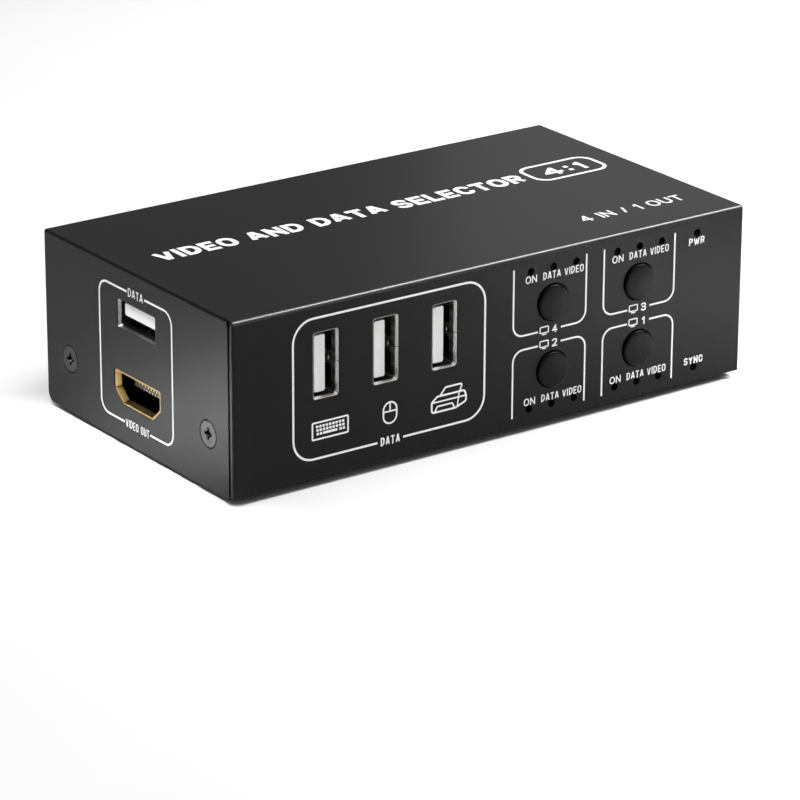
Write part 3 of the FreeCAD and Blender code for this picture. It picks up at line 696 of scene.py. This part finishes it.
LINE = 0.42
FRONT_SHIFT = Vector((-0.35, 0.2, 0))
BRACKET_WIDE = 17.4
BRACKET_GAP_HALF = 2.75
BRACKETS = ((4, 64.0, 32.3, 18.7), (3, 85.7, 32.3, 18.7), (2, 64.0, 2.3, 15.85), (1, 85.7, 2.3, 15.85))
front_face = panel("cover", (0, 0, 0), (1, 0, 0), (0, 0, 1)) @ Matrix.Translation(FRONT_SHIFT)
marks = outline(13.55, 4.4, 57.3, 32.05, 4.4, LINE, [("bottom", 32.5, 38.4)])
for number, left, edge, level in BRACKETS:
    right = left + BRACKET_WIDE
    middle = (left + right) / 2
    for side, end in ((left, middle - BRACKET_GAP_HALF), (right, middle + BRACKET_GAP_HALF)):
        marks += ink_line(turned_line([(side, edge), (side, level, 1), (end, level)], 2.3), 0.36)
    marks += numbered_screen(number, middle, level)
print_film("front_outlines", marks, front_face)

# ---------------------------------------------------------------- printing on the front: words
# Plain white words in the same ink: one in the outline's gap, three beside each computer's lamps, and
# one beside each of the two lamps at the right.
LAMP_WORD = 1.5
INPUT_WORDS = (("ON", 0.2, 2.9), ("DATA", 4.4, 8.6), ("VIDEO", 9.5, 14.1))
labels = words("DATA", 35.45, 4.4, 1.7, 4.4, 0.28)
for column in (66.6, 87.5):
    for v in (29.7, 4.95):
        for text, start, end in INPUT_WORDS:
            labels += words(text, column + (start + end) / 2, v, LAMP_WORD, end - start, 0.22)
labels += words("PWR", 108.6, 29.65, LAMP_WORD, 3.9, 0.27)
labels += words("SYNC", 108.6, 4.95, LAMP_WORD, 4.7, 0.27)
print_film("front_words", labels, front_face)

# ---------------------------------------------------------------- printing on the front: pictures
# A small line drawing under each upright data socket, in the same white ink: a keyboard, a mouse and
# a printer.
PICTURE_LINE = 0.34
KEY_HALF = 0.26
KEY_TALL = 0.48
KEY_PITCH = 0.73
ROW_PITCH = 0.72
ROW_SHIFT = 0.08
keyboard = outline(17.8, 8.2, 25.8, 11.5, 0.2, PICTURE_LINE)
for row in range(3):
    v = 10.68 - row * ROW_PITCH
    for key in range(9):
        u = 18.85 + key * KEY_PITCH + row * ROW_SHIFT
        if row < 2 or not 2 <= key <= 6:
            keyboard += dash((u - KEY_HALF, v), (u + KEY_HALF, v), KEY_TALL)
keyboard += dash((20.2, 9.24), (23.4, 9.24), KEY_TALL)
print_film("keyboard_picture", keyboard, front_face)

mouse = outline(33.85, 7.8, 36.9, 12.0, 1.5, PICTURE_LINE)
mouse += dash((33.9, 10.2), (36.85, 10.2), 0.3)
mouse += dash((35.375, 10.3), (35.375, 11.95), 0.3)
print_film("mouse_picture", mouse, front_face)

printer_body = [(45.0, 7.6, 1), (45.0, 9.7, 1), (46.3, 10.7, 1), (52.6, 10.7, 1), (53.0, 9.7, 1),
                (53.0, 8.5, 1), (50.6, 7.6, 1)]
paper_in = [(46.9, 10.7), (48.2, 12.2, 1), (52.1, 12.2, 1), (51.5, 10.7)]
paper_out = [(45.7, 7.7), (46.3, 8.7, 1), (49.8, 8.7, 1), (50.3, 7.7)]
printer = ink_line(turned_line(printer_body, 0.5, True, 4), 0.38, True)
printer += ink_line(turned_line(paper_in, 0.3, steps=4), PICTURE_LINE)
printer += ink_line(turned_line(paper_out, 0.3, steps=4), 0.32)
printer += dash((45.2, 9.6), (52.9, 9.6), 0.30)
printer += dash((51.0, 7.9), (51.4, 10.6), 0.28)
print_film("printer_picture", printer, front_face)

# ---------------------------------------------------------------- printing on the top
# A bold title along the middle, a round-cornered tag with the number of inputs to outputs, and a
# thinner line of words near the front right, in the same white ink.
top_face = panel("cover", (0, 0, 1), (1, 0, 0), (0, 1, 0))
print_film("top_title", words("VIDEO AND DATA SELECTOR", 51.6, 38.75, 4.9, 86.4, 1.12, 0.11), top_face)
tag = outline(96.7, 34.4, 113.8, 43.4, 2.8, 0.8) + words("4:1", 105.2, 38.75, 4.4, 10.2, 1.0, 0.3)
print_film("top_tag", tag, top_face)
print_film("top_line", words("4 IN / 1 OUT", 100.6, 11.0, 3.3, 25.0, 0.5, 0.14), top_face)

# ---------------------------------------------------------------- printing on the left end
# One white outline round the flat data socket and the video output, open above and below for the
# socket's name.
end_face = panel("cover", (0, 1, 0), (0, -1, 0), (0, 0, 1))
end_marks = outline(19.8, 4.25, 45.1, 30.8, 2.6, LINE, [("top", 29.6, 35.8), ("bottom", 28.0, 37.1)])
end_marks += words("DATA", 32.7, 30.8, 1.7, 5.2, 0.21)
end_marks += words("VIDEO OUT", 32.55, 4.25, 1.6, 8.2, 0.19)
print_film("end_print", end_marks, end_face)

# ---------------------------------------------------------------- printing on the rear
# A white outlined cell for each computer's pair of sockets, with its numeral in the gap and a name
# under each socket. The control socket and the power inlet have a name each.
CELL_WIDE = 24.2
CELL_GAP_HALF = 3.4
REAR_WORD = 1.55
REAR_STROKE = 0.27
SIDE_GAP = (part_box("cover")[1].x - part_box("base_tray")[1].x) / MM
rear_face = panel("base_tray", (1, 1, 0), (-1, 0, 0), (0, 0, 1))
rear_marks = []
for column, number in enumerate(reversed(NUMBERS)):
    left = 4.5 + CELL_WIDE * column - SIDE_GAP
    middle = left + CELL_WIDE / 2
    gap = ("top", middle - CELL_GAP_HALF, middle + CELL_GAP_HALF)
    rear_marks += outline(left, 1.1, left + CELL_WIDE, 32.1, 4.0, LINE, [gap])
    rear_marks += numbered_screen(number, middle, 32.0)
    rear_marks += words("DATA IN", middle, 14.95, REAR_WORD, 6.9, REAR_STROKE)
    rear_marks += words("VIDEO IN", middle, 2.75, REAR_WORD, 7.5, REAR_STROKE)
print_film("rear_cells", rear_marks, rear_face)
side_names = words("REMOTE", 109.45 - SIDE_GAP, 23.5, REAR_WORD, 7.6, REAR_STROKE)
side_names += words("POWER", 109.3 - SIDE_GAP, 2.35, 1.45, 6.0, 0.26)
print_film("rear_side_names", side_names, rear_face)

# ---------------------------------------------------------------- floor, light and camera
# A pale studio floor, a broad light overhead, a strip that catches the front bend, a card behind, and
# two small lights aimed at the floor beside the case. The camera stands above the left front corner,
# far enough back that the case hardly tapers.
FLOOR_HALF = 3.0
FLOOR_SHADES = ((0.90, 0.90, 0.90), (0.92, 0.92, 0.92))
floor_mesh = bpy.data.meshes.new("studio_floor")
floor_corners = [(x * FLOOR_HALF, y * FLOOR_HALF, 0) for x, y in ((-1, -1), (1, -1), (1, 1), (-1, 1))]
floor_mesh.from_pydata(floor_corners, [], [[0, 1, 2, 3]])
floor_mesh.materials.append(finish("pale_floor", FLOOR_SHADES, 60, (0.75, 0.85), 3, 0.01))
floor = bpy.data.objects.new("studio_floor", floor_mesh)
bpy.context.scene.collection.objects.link(floor)

world = bpy.data.worlds.new("studio")
world.use_nodes = True
room = world.node_tree.nodes["Background"]
room.inputs["Color"].default_value = (1, 1, 1, 1)
room.inputs["Strength"].default_value = 0.30
bpy.context.scene.world = world
bpy.context.scene.view_settings.view_transform = "Standard"

TARGET = Vector((0, 0, 0.018))


def soft_light(name, at, across, power, towards=TARGET, spread=180):
    """A panel of soft light: its place, its width and height, its watts, its aim and its cone."""
    lamp = bpy.data.lights.new(name, "AREA")
    lamp.shape = "RECTANGLE"
    lamp.size, lamp.size_y = across
    lamp.energy = power
    lamp.spread = math.radians(spread)
    made = bpy.data.objects.new(name, lamp)
    made.location = at
    made.rotation_euler = (Vector(towards) - Vector(at)).to_track_quat("-Z", "Y").to_euler()
    made.visible_camera = False
    bpy.context.scene.collection.objects.link(made)


soft_light("overhead", (0.0, 0.0, 1.5), (2.0, 2.0), 11.0)
soft_light("edge_light", (0.33, -0.113, 0.445), (0.09, 0.34), 3.0)
soft_light("back_card", (0.25, 0.233, 0.159), (0.12, 0.12), 0.032)
soft_light("end_floor_light", (-0.105, -0.005, 0.09), (0.03, 0.03), 0.07, (-0.098, 0.0, 0), 60)
soft_light("front_floor_light", (0.10, -0.10, 0.10), (0.04, 0.04), 0.07, (0.09, -0.085, 0), 70)

camera_lens = bpy.data.cameras.new("camera")
camera_lens.lens = 186.86
camera_lens.sensor_width = 36
camera_lens.clip_start = 0.01
camera = bpy.data.objects.new("camera", camera_lens)
camera.location = (-0.44557, -0.62223, 0.28835)
camera.rotation_euler = [math.radians(angle) for angle in (69.233, -0.218, -35.551)]
bpy.context.scene.collection.objects.link(camera)
bpy.context.scene.camera = camera
